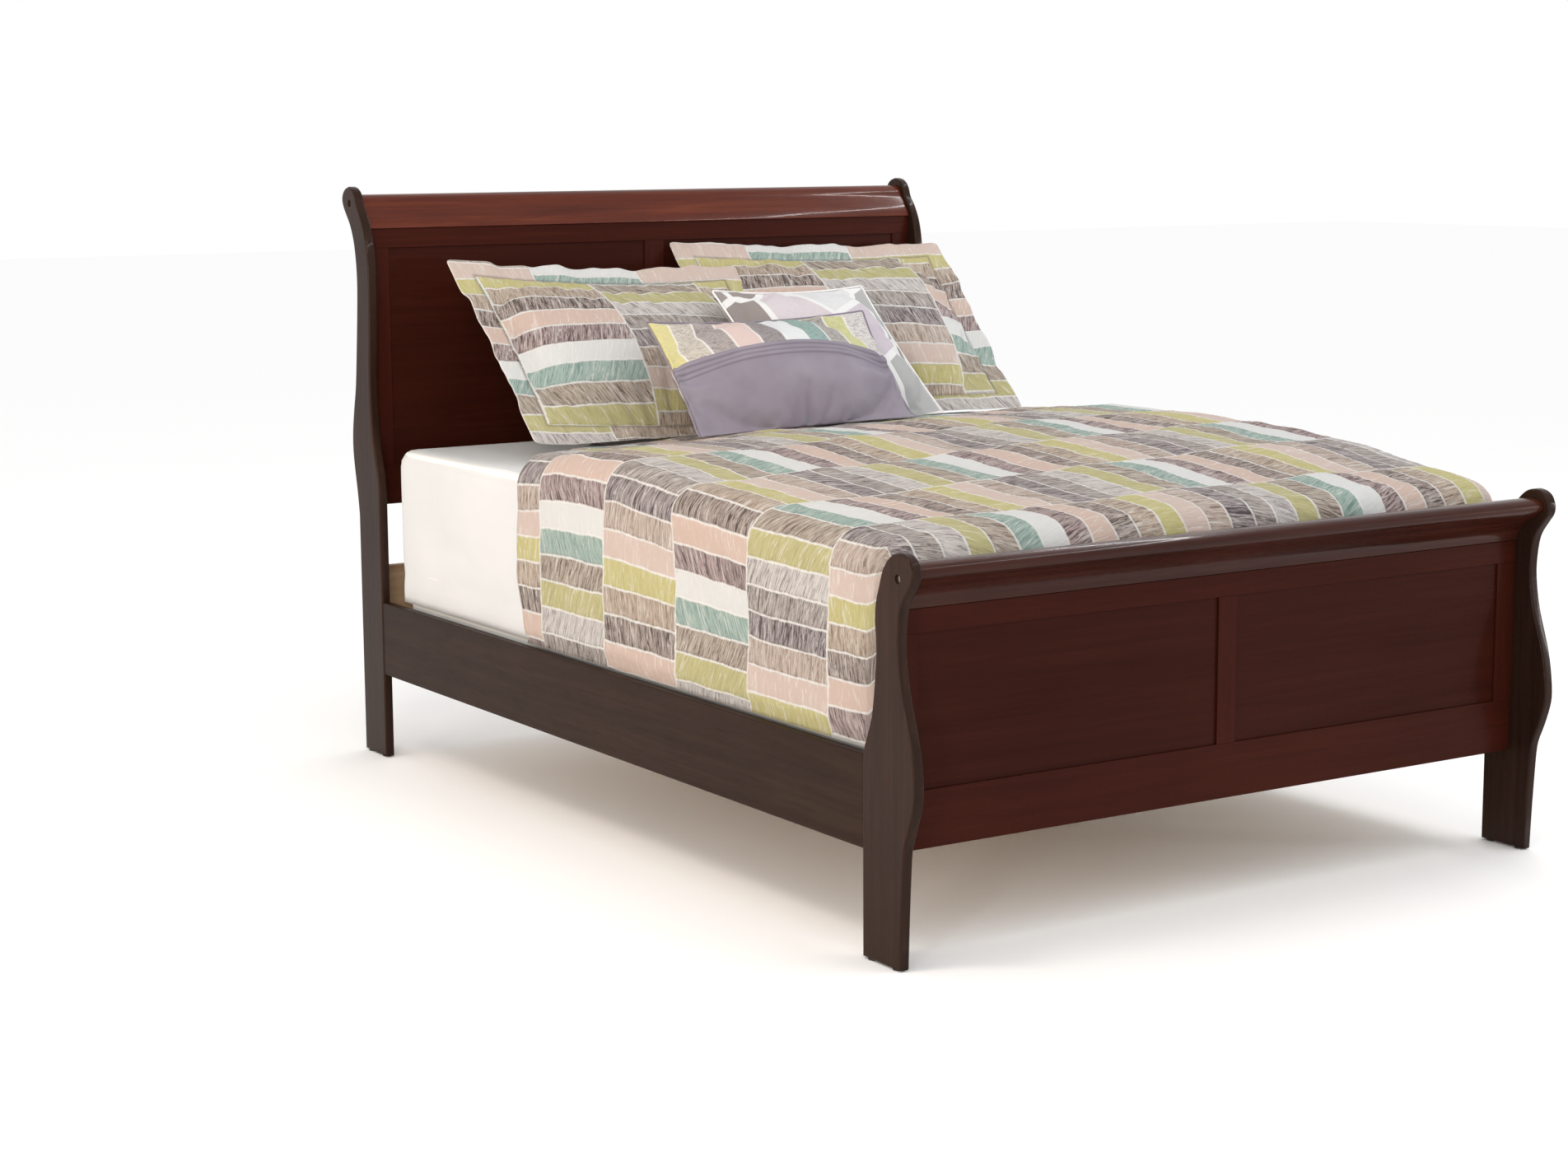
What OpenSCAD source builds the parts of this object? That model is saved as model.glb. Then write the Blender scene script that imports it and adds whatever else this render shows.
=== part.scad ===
// Sleigh bed with scroll-cut posts, panelled headboard and footboard, slatted
// base, box spring, mattress and patchwork bedding. Millimetres, +Z up.
// Origin: floor level, centre of the overall box. The footboard is at -Y.

/* [Overall] */
// Overall width across the outer faces of the posts
bed_w = 1600; // [1560:5:1680]
// Length of the side rails, from footboard leg to headboard leg
rail_len = 2032; // [2020:2:2060]
// Thickness of each scroll-cut post
post_t = 22; // [20:1:26]
// Depth of the straight leg of every post
leg_depth = 118; // [116:1:118]

/* [Panelled frames] */
// Thickness of the footboard frame
foot_frame_t = 20; // [18:1:22]
// Thickness of the headboard frame
head_frame_t = 22; // [20:1:22]
// Width of the outer stiles
stile_w = 50; // [40:1:60]
// Width of the centre stile of the footboard
foot_mid_w = 46; // [36:1:60]
// Width of the centre stile of the headboard
head_mid_w = 54; // [40:1:70]
// Depth of the panels behind the frame face
panel_recess = 5; // [3:0.5:6]
// Thickness of the panels
panel_t = 10; // [8:0.5:10]
// Depth of the grooves that hold the panels
groove_d = 9; // [8:0.5:12]

/* [Side rails and slats] */
// Height of the side rails' lower edge
rail_z0 = 203; // [200:1:205]
// Height of the side rails' upper edge
rail_z1 = 378; // [375:1:380]
// Thickness of the side rails
rail_t = 22; // [20:1:24]
// Height of the slats' upper face
slat_top = 250; // [248:1:252]
// Number of slats
slat_count = 12; // [9:1:14]
// Width of one slat
slat_w = 90; // [70:2:100]
// Thickness of one slat
slat_t = 18; // [16:1:18]

/* [Centre support] */
// Width of the flat centre beam
beam_w = 90; // [80:1:110]
// Thickness of the flat centre beam
beam_h = 24; // [20:1:24]
// Distance between neighbouring support legs
leg_pitch = 580; // [500:10:590]
// Place of the middle support leg along the bed
leg_mid = 220; // [150:10:240]
// Height of the levelling foot's pad
pad_h = 8; // [6:1:10]
// Radius of the levelling foot's stem
stem_r = 4; // [3.5:0.25:5]

/* [Bedding] */
// Mattress width
mattress_w = 1524; // [1500:2:1526]
// Mattress length
mattress_len = 2032; // [2000:2:2034]
// Height of the box spring
spring_h = 200; // [180:5:205]
// Height of the mattress
mattress_h = 300; // [280:5:302]
// Width of a sham with its flange
sham_w = 790; // [740:5:795]
// Height of a sham with its flange
sham_h = 590; // [560:5:595]
// Width of the flange around a sham
flange = 50; // [40:1:60]
// Side of the square pillow
square_w = 450; // [400:5:455]
// Width of the lumbar pillow
lumbar_w = 600; // [560:5:605]
// Height of the lumbar pillow
lumbar_h = 360; // [320:5:362]

/* [Hidden] */
$fn = 32;
half_w = bed_w / 2;
post_in = half_w - post_t;          // inner face of a post
foot_y = -rail_len / 2 - 119;       // front of the footboard leg
head_y = foot_y + leg_depth + rail_len;  // front of the headboard leg
frame_fy = foot_y + 48;             // outer face of the footboard frame
frame_hy = head_y + 65;             // inner face of the headboard frame
rail_x = half_w - 2 - rail_t;       // inner face of a side rail
gap = 0.1;                          // play around dowels, screws and plates
dowel_r = 5;
dowel_len = 24;
cleat = 32;
cleat_top = slat_top - slat_t;
beam_top = cleat_top;
slat_y0 = foot_y + leg_depth + 70;
slat_step = (rail_len - 140) / (slat_count - 1);
bed_y0 = foot_y + 96;               // foot end of the mattress
spring_top = slat_top + spring_h;
bed_top = spring_top + mattress_h;
sheet_t = 2;
quilt_in = mattress_w / 2 + 3;
quilt_out = post_in - 3;
quilt_z0 = 384;
quilt_base = bed_top + sheet_t + 0.8;
foot_bolt = [8, 709];
head_bolt = [123, 1321];
wood = [0.27, 0.11, 0.07];
wood_side = [0.25, 0.15, 0.11];
pine = [0.72, 0.53, 0.33];
steel = [0.62, 0.62, 0.60];

// ---- curves ----
function blend(a, b, c, d, t) = 0.5 * (2 * b + (c - a) * t
  + (2 * a - 5 * b + 4 * c - d) * t * t + (3 * b - a - 3 * c + d) * t * t * t);
function curve(p, n = 3) = concat([for (i = [0 : len(p) - 2]) for (k = [0 : n - 1])
  blend(p[max(i - 1, 0)], p[i], p[i + 1], p[min(i + 2, len(p) - 1)], k / n)],
  [p[len(p) - 1]]);
function arc(c, r, a0, a1, n) = [for (i = [0 : n]) let (a = a0 + (a1 - a0) * i / n)
  [c[0] + r * cos(a), c[1] + r * sin(a)]];
function round_box(w, l, r) = concat(arc([w / 2 - r, l / 2 - r], r, 0, 90, 6),
  arc([r - w / 2, l / 2 - r], r, 90, 180, 6), arc([r - w / 2, r - l / 2], r, 180, 270, 6),
  arc([w / 2 - r, r - l / 2], r, 270, 360, 6));

// scroll-cut outlines: distance from the leg's front face, height
foot_front = [[-4, 100], [-9, 187], [-14, 229], [-29, 267], [-43, 310], [-46, 341],
  [-40, 391], [-29, 436], [-5, 509], [6, 570], [6, 615], [-2, 658], [-21, 687],
  [-35, 706], [-37, 724], [-29, 743], [-14, 753], [3, 756]];
foot_back = [[3, 756], [22, 752], [40, 740], [56, 720], [67, 690], [77, 660], [80, 625],
  [76, 574], [81, 510], [90, 453], [105, 413], [115, 388], [leg_depth, 362]];
head_front = [[0, 640], [7, 690], [21, 735], [33, 785], [38, 850], [38, 905], [33, 985],
  [28, 1070], [26, 1140], [29, 1195], [40, 1245], [60, 1286], [80, 1312], [88, 1332],
  [97, 1346], [112, 1356], [130, 1360]];
head_back = [[130, 1360], [150, 1354], [163, 1341], [166, 1326], [158, 1308], [143, 1290],
  [124, 1266], [108, 1231], [99, 1190], [95, 1140], [98, 1080], [108, 980], [119, 889],
  [133, 830], [143, 776], [144, 731], [137, 685], [126, 632], [leg_depth, 580]];
foot_crest_line = [[45, 645.5], [39, 664], [25, 680], [8, 693], [-8, 703], [-20, 713],
  [-22, 724], [-14, 733], [0, 737], [20, 736], [37, 726], [48, 711], [57, 690], [65, 668],
  [68, 645.5]];
head_crest_line = [[59, 1262], [68, 1280], [81, 1298], [93, 1315], [101, 1329], [113, 1338],
  [129, 1341], [146, 1335], [153, 1322], [145, 1306], [130, 1290], [116, 1274], [104, 1262]];

// ---- helpers ----
module bar(x0, x1, y0, y1, z0, z1) translate([x0, y0, z0]) cube([x1 - x0, y1 - y0, z1 - z0]);
module along_x(x0, x1, y, z, r) translate([x0, y, z]) rotate([0, 90, 0]) cylinder(r = r, h = x1 - x0);
module both() { children(); mirror([1, 0, 0]) children(); }
// a flat outline in (distance, height) cut from a board of thickness t, inner face at x0
module board(outline, x0, t) translate([x0, 0, 0]) rotate([90, 0, 90]) linear_extrude(t) polygon(outline);
function shifted(p, y) = [for (q = p) [q[0] + y, q[1]]];

// ---- joinery shared by neighbours ----
module dowels(r, extra = 0) both() {
  for (z = [235, 285]) dowel(frame_fy + foot_frame_t / 2, z, r, extra);
  dowel(frame_fy + foot_frame_t / 2, 622, r, extra);
  for (z = [630, 675, 375, 422]) dowel(frame_hy + head_frame_t / 2, z, r, extra);
  dowel(frame_hy + head_frame_t / 2, 1239, r, extra);
}
module dowel(y, z, r, extra) along_x(post_in - dowel_len / 2 - extra, post_in + dowel_len / 2 + extra, y, z, r);
module bolt_at(p, y) {
  along_x(post_in - 50, half_w - 12, y + p[0], p[1], 4);
  difference() {
    along_x(half_w - 12, half_w - 6, y + p[0], p[1], 6.5);
    translate([half_w - 9, y + p[0], p[1]]) rotate([0, 90, 0]) cylinder(r = 3, h = 4, $fn = 6);
  }
}
module bolt_room(p, y) {
  along_x(post_in - 52, half_w, y + p[0], p[1], 4 + gap);
  along_x(half_w - 12, half_w + 1, y + p[0], p[1], 8);
}
// one hook plate on a rail end at y, hooks pointing along s
module hook_plate(y, s) {
  px = rail_x + 4;
  bar(px, px + 14, min(y, y - 3 * s), max(y, y - 3 * s), 225, 355);
  for (z = [245, 305]) {
    bar(px + 5.5, px + 8.5, min(y, y + 11 * s), max(y, y + 11 * s), z + 8, z + 30);
    bar(px + 5.5, px + 8.5, min(y + 6 * s, y + 11 * s), max(y + 6 * s, y + 11 * s), z, z + 8);
  }
}
module slot_plate(y, s) {
  px = rail_x + 4;
  difference() {
    bar(px, px + 14, min(y, y + 3 * s), max(y, y + 3 * s), 225, 355);
    for (z = [243, 303]) bar(px + 5, px + 9, y - 4, y + 4, z, z + 34);
  }
}
module slot_room(y, s) {
  px = rail_x + 4;
  bar(px - gap, px + 14 + gap, min(y - s, y + 3 * s), max(y - s, y + 3 * s), 225 - gap, 355 + gap);
  for (z = [243, 303]) bar(px + 5, px + 9, min(y, y + 14 * s), max(y, y + 14 * s), z, z + 34);
}
module glide_at(y) translate([half_w - post_t / 2, y, 0]) {
  cylinder(r = 10, h = 3);
  cylinder(r = 1.5, h = 18);
}

// ---- posts ----
module foot_post() difference() {
  board(shifted(concat([[0, 3]], curve(foot_front), curve(foot_back), [[leg_depth, 3]]), foot_y), post_in, post_t);
  dowels(dowel_r + gap, gap);
  bolt_room(foot_bolt, foot_y);
  slot_room(foot_y + leg_depth, -1);
  for (d = [20, 98]) translate([half_w - post_t / 2, foot_y + d, 0]) cylinder(r = 1.5 + gap, h = 19);
}
module head_post() difference() {
  board(shifted(concat([[0, 3]], curve(head_front), curve(head_back), [[leg_depth, 3]]), head_y), post_in, post_t);
  dowels(dowel_r + gap, gap);
  bolt_room(head_bolt, head_y);
  slot_room(head_y, 1);
  for (d = [20, 98]) translate([half_w - post_t / 2, head_y + d, 0]) cylinder(r = 1.5 + gap, h = 19);
}
module footboard_left_post() color(wood_side) mirror([1, 0, 0]) foot_post();
module footboard_right_post() color(wood_side) foot_post();
module headboard_left_post() color(wood_side) mirror([1, 0, 0]) head_post();
module headboard_right_post() color(wood_side) head_post();

// ---- crest rails ----
module crest(line, y, bolt) difference() {
  board(shifted(curve(line), y), -post_in, 2 * post_in);
  both() bolt_room(bolt, y);
}
module footboard_crest_rail() color(wood) crest(foot_crest_line, foot_y, foot_bolt);
module headboard_crest_rail() color(wood) crest(head_crest_line, head_y, head_bolt);

// ---- panelled frames ----
// groove for the panels, in a frame whose face is at y
module groove(y, x0, x1, z0, z1) bar(x0, x1, y + panel_recess - gap, y + panel_recess + panel_t + gap, z0, z1);
module frame_rail(y, t, z0, z1, groove_z) difference() {
  bar(-post_in, post_in, y, y + t, z0, z1);
  if (groove_z > 0) groove(y, -post_in - 1, post_in + 1, groove_z, groove_z + groove_d + 1);
  dowels(dowel_r + gap, gap);
}
// stile between x0 and x1 with stub tenons above z1 and below z0
module stile(y, t, x0, x1, z0, z1, left, right) difference() {
  union() {
    bar(x0, x1, y, y + t, z0, z1);
    bar(x0, x1, y + panel_recess, y + panel_recess + panel_t, z0 - groove_d + 1, z1 + groove_d - 1);
  }
  if (left) groove(y, x0 - 1, x0 + groove_d, z0 - 20, z1 + 20);
  if (right) groove(y, x1 - groove_d, x1 + 1, z0 - 20, z1 + 20);
}
module panel(y, x0, x1, z0, z1) bar(x0 - groove_d + 1, x1 + groove_d - 1, y + panel_recess,
  y + panel_recess + panel_t, z0 - groove_d + 1, z1 + groove_d - 1);
fz0 = 313;
fz1 = 600;
hz0 = 700;
hz1 = 1216;
stile_in = post_in - stile_w;
module footboard_upper_rail() color(wood) frame_rail(frame_fy, foot_frame_t, fz1, 645, fz1 - 1);
module footboard_bottom_rail() color(wood) frame_rail(frame_fy, foot_frame_t, 205, fz0, fz0 - groove_d);
module footboard_left_stile() color(wood) stile(frame_fy, foot_frame_t, -post_in, -stile_in, fz0, fz1, false, true);
module footboard_right_stile() color(wood) stile(frame_fy, foot_frame_t, stile_in, post_in, fz0, fz1, true, false);
module footboard_centre_stile() color(wood)
  stile(frame_fy, foot_frame_t, -foot_mid_w / 2, foot_mid_w / 2, fz0, fz1, true, true);
module footboard_left_panel() color(wood) panel(frame_fy, -stile_in, -foot_mid_w / 2, fz0, fz1);
module footboard_right_panel() color(wood) panel(frame_fy, foot_mid_w / 2, stile_in, fz0, fz1);
module headboard_upper_rail() color(wood) frame_rail(frame_hy, head_frame_t, hz1, 1262, hz1 - 1);
module headboard_bottom_rail() color(wood) frame_rail(frame_hy, head_frame_t, 605, hz0, hz0 - groove_d);
module headboard_left_stile() color(wood) stile(frame_hy, head_frame_t, -post_in, -stile_in, hz0, hz1, false, true);
module headboard_right_stile() color(wood) stile(frame_hy, head_frame_t, stile_in, post_in, hz0, hz1, true, false);
module headboard_centre_stile() color(wood)
  stile(frame_hy, head_frame_t, -head_mid_w / 2, head_mid_w / 2, hz0, hz1, true, true);
module headboard_left_panel() color(wood) panel(frame_hy, -stile_in, -head_mid_w / 2, hz0, hz1);
module headboard_right_panel() color(wood) panel(frame_hy, head_mid_w / 2, stile_in, hz0, hz1);
module headboard_stretcher() color(pine) frame_rail(frame_hy, head_frame_t, 340, 456, 0);

// ---- side rails, cleats, slats ----
module side_rail() difference() {
  bar(rail_x, rail_x + rail_t, foot_y + leg_depth, head_y, rail_z0, rail_z1);
  for (e = [[foot_y + leg_depth, 1], [head_y, -1]])
    bar(rail_x + 4 - gap, rail_x + 18 + gap, min(e[0] - e[1], e[0] + 3 * e[1]),
      max(e[0] - e[1], e[0] + 3 * e[1]), 225 - gap, 355 + gap);
  cleat_screw_set(2 + gap);
}
module slat_cleat() difference() {
  bar(rail_x - cleat, rail_x, foot_y + leg_depth + 20, head_y - 20, cleat_top - 26, cleat_top);
  cleat_screw_set(2 + gap);
  slat_screw_set(2 + gap);
}
module cleat_screw_set(r) for (i = [0 : 4]) let (y = slat_y0 + slat_step * (1.5 + (slat_count - 4) * i / 4)) {
  along_x(rail_x - cleat + 2, rail_x + 12, y, cleat_top - 13, r);
  along_x(rail_x - cleat, rail_x - cleat + 2, y, cleat_top - 13, r + 2);
}
module slat_screw_set(r) for (i = [0 : slat_count - 1]) translate([rail_x - cleat / 2, slat_y0 + i * slat_step, 0]) {
  translate([0, 0, cleat_top - 22]) cylinder(r = r, h = slat_t + 20);
  translate([0, 0, slat_top - 2]) cylinder(r = r + 2, h = 2);
}
module left_side_rail() color(wood_side) mirror([1, 0, 0]) side_rail();
module right_side_rail() color(wood_side) side_rail();
module left_slat_cleat() color(pine) mirror([1, 0, 0]) slat_cleat();
module right_slat_cleat() color(pine) slat_cleat();
module cleat_screws() color(steel) both() cleat_screw_set(2);
module slat_screws() color(steel) both() slat_screw_set(2);
module slats() color(pine) difference() {
  for (i = [0 : slat_count - 1]) bar(2 - rail_x, rail_x - 2, slat_y0 + i * slat_step - slat_w / 2,
    slat_y0 + i * slat_step + slat_w / 2, cleat_top, slat_top);
  both() slat_screw_set(2 + gap);
}

// ---- hardware ----
module rail_hook_plates() color(steel) both() {
  hook_plate(foot_y + leg_depth, -1);
  hook_plate(head_y, 1);
}
module post_slot_plates() color(steel) both() {
  slot_plate(foot_y + leg_depth, -1);
  slot_plate(head_y, 1);
}
module frame_dowels() color(pine) dowels(dowel_r);
module crest_bolts() color(steel) both() {
  bolt_at(foot_bolt, foot_y);
  bolt_at(head_bolt, head_y);
}
module post_glides() color([0.16, 0.14, 0.13]) both() for (y = [foot_y, head_y], d = [20, 98]) glide_at(y + d);

// ---- centre support ----
beam_z0 = beam_top - beam_h;
beam_y0 = foot_y + 68 + 3;
function leg_y(i) = leg_mid + i * leg_pitch;
module centre_beam() color(pine) difference() {
  bar(-beam_w / 2, beam_w / 2, beam_y0, slat_y0 + rail_len - 140 + slat_w / 2, beam_z0, beam_top);
  for (i = [-1 : 1]) translate([0, leg_y(i), 0]) {
    translate([0, 0, beam_z0 - 1]) cylinder(r = 3 + gap, h = beam_h + 2);
    translate([0, 0, beam_top - 4]) cylinder(r = 9 + gap, h = 5);
  }
}
// steel angle that carries the beam's front end on the footboard
module beam_bracket() color(steel) {
  bar(-30, 30, foot_y + 68, foot_y + 71, 205, 262);
  bar(-30, 30, foot_y + 71, foot_y + 108, beam_z0 - 3, beam_z0);
}
module centre_legs() color(pine) for (i = [-1 : 1]) translate([0, leg_y(i), 0]) difference() {
  bar(-22.5, 22.5, -22.5, 22.5, pad_h, beam_z0);
  translate([0, 0, beam_z0 - 44]) cylinder(r = 3 + gap, h = 50);
  translate([0, 0, pad_h - 1]) cylinder(r = stem_r + 0.06, h = 56);
}
module centre_leg_bolts() color(steel) for (i = [-1 : 1]) translate([0, leg_y(i), 0]) {
  translate([0, 0, beam_z0 - 40]) cylinder(r = 3, h = 40 + beam_h - 4);
  translate([0, 0, beam_top - 4]) cylinder(r = 9, h = 3.5);
}
module levelling_foot(y) color([0.2, 0.2, 0.2]) translate([0, y, 0]) {
  cylinder(r = 20, h = pad_h);
  cylinder(r = stem_r, h = pad_h + 40);
}
module levelling_foot_front() levelling_foot(leg_y(-1));
module levelling_foot_middle() levelling_foot(leg_y(0));
module levelling_foot_rear() levelling_foot(leg_y(1));

// ---- mattress, box spring, sheet, quilt ----
module slab(w, l, z0, z1, r) translate([0, bed_y0 + mattress_len / 2, z0]) linear_extrude(z1 - z0) polygon(round_box(w, l, r));
module box_spring() color([0.86, 0.85, 0.82]) slab(mattress_w - 10, mattress_len - 10, slat_top, spring_top, 60);
module mattress() color([0.9, 0.9, 0.88]) slab(mattress_w, mattress_len, spring_top, bed_top, 60);
module bed_sheet() color([0.95, 0.95, 0.95]) difference() {
  slab(mattress_w + 0.6 + 2 * sheet_t, mattress_len + 0.6 + 2 * sheet_t, quilt_z0, bed_top + sheet_t, 62);
  slab(mattress_w + 0.6, mattress_len + 0.6, quilt_z0 - 10, bed_top + 0.3, 60);
}
// plan outline of the quilt: its head edge sweeps back from left to right
quilt_plan = concat([[-quilt_out, bed_y0 - 18], [-quilt_out, 346]],
  curve([[-700, 352], [-600, 440], [-450, 590], [-250, 740], [0, 800], [300, 780], [600, 745]], 2),
  [[quilt_out, 700], [quilt_out, bed_y0 - 18]]);
// height of the quilt's top along the bed
quilt_rise = [[bed_y0 - 18, quilt_base - 20], [bed_y0 + 40, quilt_base + 8], [-830, quilt_base + 36],
  [-600, quilt_base + 52], [-300, quilt_base + 62], [0, quilt_base + 60], [200, quilt_base + 40],
  [330, quilt_base + 17], [420, quilt_base + 12], [810, quilt_base + 12]];
module quilt_room() bar(-quilt_in, quilt_in, bed_y0 - 3, 1200, quilt_z0 - 10, quilt_base);
module quilt() color([0.86, 0.84, 0.74]) difference() {
  intersection() {
    translate([0, 0, quilt_z0]) linear_extrude(600) polygon(quilt_plan);
    board(concat(curve(quilt_rise, 2), [[810, quilt_z0], [bed_y0 - 18, quilt_z0]]), -quilt_out, 2 * quilt_out);
    rotate([90, 0, 0]) translate([0, 0, -1200]) linear_extrude(2400) polygon(concat(
      arc([quilt_out - 70, quilt_base - 15], 70, 0, 65, 6), [[0, quilt_base + 90]],
      arc([70 - quilt_out, quilt_base - 15], 70, 115, 180, 6), [[-quilt_out, quilt_z0 - 1], [quilt_out, quilt_z0 - 1]]));
  }
  quilt_room();
}

// ---- pillows ----
function lens(a, edge, belly) = concat(
  [for (i = [-8 : 8]) [a * i / 8, edge + (belly - edge) * (1 - pow(i / 8, 2))]],
  [for (i = [8 : -1 : -8]) [a * i / 8, -edge - (belly - edge) * (1 - pow(i / 8, 2))]]);
// cushion of width w, height h, half thickness belly at the middle and edge at the rim
module cushion(w, h, edge, belly) intersection() {
  rotate([90, 0, 0]) translate([0, 0, -h]) linear_extrude(2 * h) polygon(lens(w / 2, edge, belly));
  rotate([90, 0, 90]) translate([0, 0, -w]) linear_extrude(2 * w) polygon(lens(h / 2, edge, belly));
  translate([0, 0, -belly * 2]) linear_extrude(belly * 4) polygon(round_box(w, h, min(w, h) / 10));
}
module lean(p, a, roll, yaw) translate(p) rotate([0, 0, yaw]) rotate([a, 0, 0]) rotate([0, 0, roll]) children();
module sham() {
  cushion(sham_w - 2 * flange, sham_h - 2 * flange, 8, 50);
  translate([0, 0, -3]) linear_extrude(6) polygon(round_box(sham_w, sham_h, 12));
}
module left_sham() color([0.88, 0.87, 0.78]) lean([-250, 730, 984], 41, -2.5, 3) sham();
module right_sham() color([0.88, 0.87, 0.78]) lean([384, 843, 996], 44, -1.5, -2) sham();
module square_pillow() color([0.93, 0.92, 0.9]) lean([205, 604, 948], 42, 0, 4) cushion(square_w, square_w, 8, 45);
module lumbar_pillow() color([0.72, 0.66, 0.78]) lean([0, 448, 924], 46, 0, -1) cushion(lumbar_w, lumbar_h, 9, 42);

headboard_left_post();
headboard_right_post();
headboard_crest_rail();
headboard_upper_rail();
headboard_bottom_rail();
headboard_left_stile();
headboard_right_stile();
headboard_centre_stile();
headboard_left_panel();
headboard_right_panel();
headboard_stretcher();
footboard_left_post();
footboard_right_post();
footboard_crest_rail();
footboard_upper_rail();
footboard_bottom_rail();
footboard_left_stile();
footboard_right_stile();
footboard_centre_stile();
footboard_left_panel();
footboard_right_panel();
left_side_rail();
right_side_rail();
left_slat_cleat();
right_slat_cleat();
cleat_screws();
slats();
slat_screws();
rail_hook_plates();
post_slot_plates();
frame_dowels();
crest_bolts();
post_glides();
beam_bracket();
centre_beam();
centre_legs();
centre_leg_bolts();
levelling_foot_front();
levelling_foot_middle();
levelling_foot_rear();
box_spring();
mattress();
bed_sheet();
quilt();
left_sham();
right_sham();
square_pillow();
lumbar_pillow();
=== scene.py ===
import math
import bpy
import bmesh
import numpy as np
from mathutils import Matrix, Vector, noise


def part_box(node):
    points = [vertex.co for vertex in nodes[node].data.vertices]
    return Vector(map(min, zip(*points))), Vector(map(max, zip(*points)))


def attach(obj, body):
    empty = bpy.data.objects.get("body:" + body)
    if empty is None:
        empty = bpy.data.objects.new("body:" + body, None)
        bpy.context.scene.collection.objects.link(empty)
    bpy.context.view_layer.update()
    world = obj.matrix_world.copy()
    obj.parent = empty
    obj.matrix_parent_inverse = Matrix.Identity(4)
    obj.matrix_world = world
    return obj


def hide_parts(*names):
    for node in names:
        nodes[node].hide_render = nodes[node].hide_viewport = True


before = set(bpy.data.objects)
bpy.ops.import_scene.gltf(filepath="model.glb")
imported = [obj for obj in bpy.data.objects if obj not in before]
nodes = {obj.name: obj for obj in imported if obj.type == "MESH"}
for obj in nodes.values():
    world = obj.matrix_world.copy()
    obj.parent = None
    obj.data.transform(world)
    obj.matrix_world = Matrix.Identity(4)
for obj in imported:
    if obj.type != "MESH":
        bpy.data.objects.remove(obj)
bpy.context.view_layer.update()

scene = bpy.context.scene
print("frame loaded, nodes:", len(nodes))

# ---- camera, floor and studio light ----

camera = {"place": (-3.6217, -5.1604, 1.4771), "yaw": 0.5703, "pitch": 0.1577, "roll": -0.0058,
          "lens": 65.53, "sensor": 36, "farEnd": 60}
studio = {"floor": (0.97, 0.97, 0.97), "sky": (1.0, 1.0, 1.0), "skyStrength": 1.0, "floorSize": 60}
# place, target, width and height, power, colour
lamps = {
    "keyLight": ((-1.5, -3.5, 4.2), (0, 0, 0.5), (4, 3), 4, (1.0, 0.99, 0.97)),
    "sideLight": ((-5.5, 0.2, 0.9), (0, 0, 0.5), (4, 1.6), 88, (1.0, 0.80, 0.60)),
    "headLight": ((-1.9, -0.9, 2.1), (-0.2, 1.1, 1.05), (0.7, 0.5), 21, (1.0, 0.86, 0.72)),
    "stripAbove": ((1.75, -1.5, 3.2), (0.3, -1.15, 0.72), (7.5, 0.03), 52, (1.0, 1.0, 1.0)),
    "stripLeft": ((-4.9, -4.2, 1.1), (-0.8, -1.1, 0.5), (0.12, 2.2), 40, (1.0, 1.0, 1.0)),
    "stripRight": ((5.6, -5.2, 1.4), (0.8, -1.1, 0.5), (0.12, 2.2), 40, (1.0, 1.0, 1.0)),
}


def setCamera():
    cy, sy = math.cos(camera["yaw"]), math.sin(camera["yaw"])
    cp, sp = math.cos(camera["pitch"]), math.sin(camera["pitch"])
    ahead = Vector((sy * cp, cy * cp, -sp))
    right = Vector((cy, -sy, 0))
    up = right.cross(ahead)
    c, s = math.cos(camera["roll"]), math.sin(camera["roll"])
    x = right * c + up * s
    y = up * c - right * s
    data = bpy.data.cameras.new("camera")
    data.lens = camera["lens"]
    data.sensor_width = camera["sensor"]
    data.clip_end = camera["farEnd"]
    cam = bpy.data.objects.new("camera", data)
    scene.collection.objects.link(cam)
    cam.matrix_world = Matrix.Translation(camera["place"]) @ Matrix((x, y, -ahead)).transposed().to_4x4()
    scene.camera = cam


def areaLight(name, place, target, size, power, colour):
    data = bpy.data.lights.new(name, "AREA")
    data.shape = "RECTANGLE"
    data.size, data.size_y = size
    data.energy = power
    data.color = colour
    lamp = bpy.data.objects.new(name, data)
    scene.collection.objects.link(lamp)
    lamp.location = place
    lamp.rotation_euler = (Vector(target) - Vector(place)).to_track_quat("-Z", "Y").to_euler()


# ---- small helpers for shader nodes ----

def newMaterial(name):
    mat = bpy.data.materials.new(name)
    mat.use_nodes = True
    tree = mat.node_tree
    tree.nodes.clear()
    out = tree.nodes.new("ShaderNodeOutputMaterial")
    shader = tree.nodes.new("ShaderNodeBsdfPrincipled")
    tree.links.new(shader.outputs[0], out.inputs[0])
    return mat, tree, shader


def addNode(tree, kind, inputs=None, **settings):
    node = tree.nodes.new("ShaderNode" + kind)
    for key, value in settings.items():
        setattr(node, key, value)
    for key, value in (inputs or {}).items():
        if isinstance(value, bpy.types.NodeSocket):
            tree.links.new(value, node.inputs[key])
        else:
            node.inputs[key].default_value = value
    return node


def calc(tree, op, a, b=0.0, c=0.0):
    return addNode(tree, "Math", {0: a, 1: b, 2: c}, operation=op).outputs[0]


def times(tree, a, b):
    return calc(tree, "MULTIPLY", a, b)


def plus(tree, a, b):
    return calc(tree, "ADD", a, b)


def minus(tree, a, b):
    return calc(tree, "SUBTRACT", a, b)


def timesPlus(tree, a, b, c):
    return calc(tree, "MULTIPLY_ADD", a, b, c)


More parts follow.
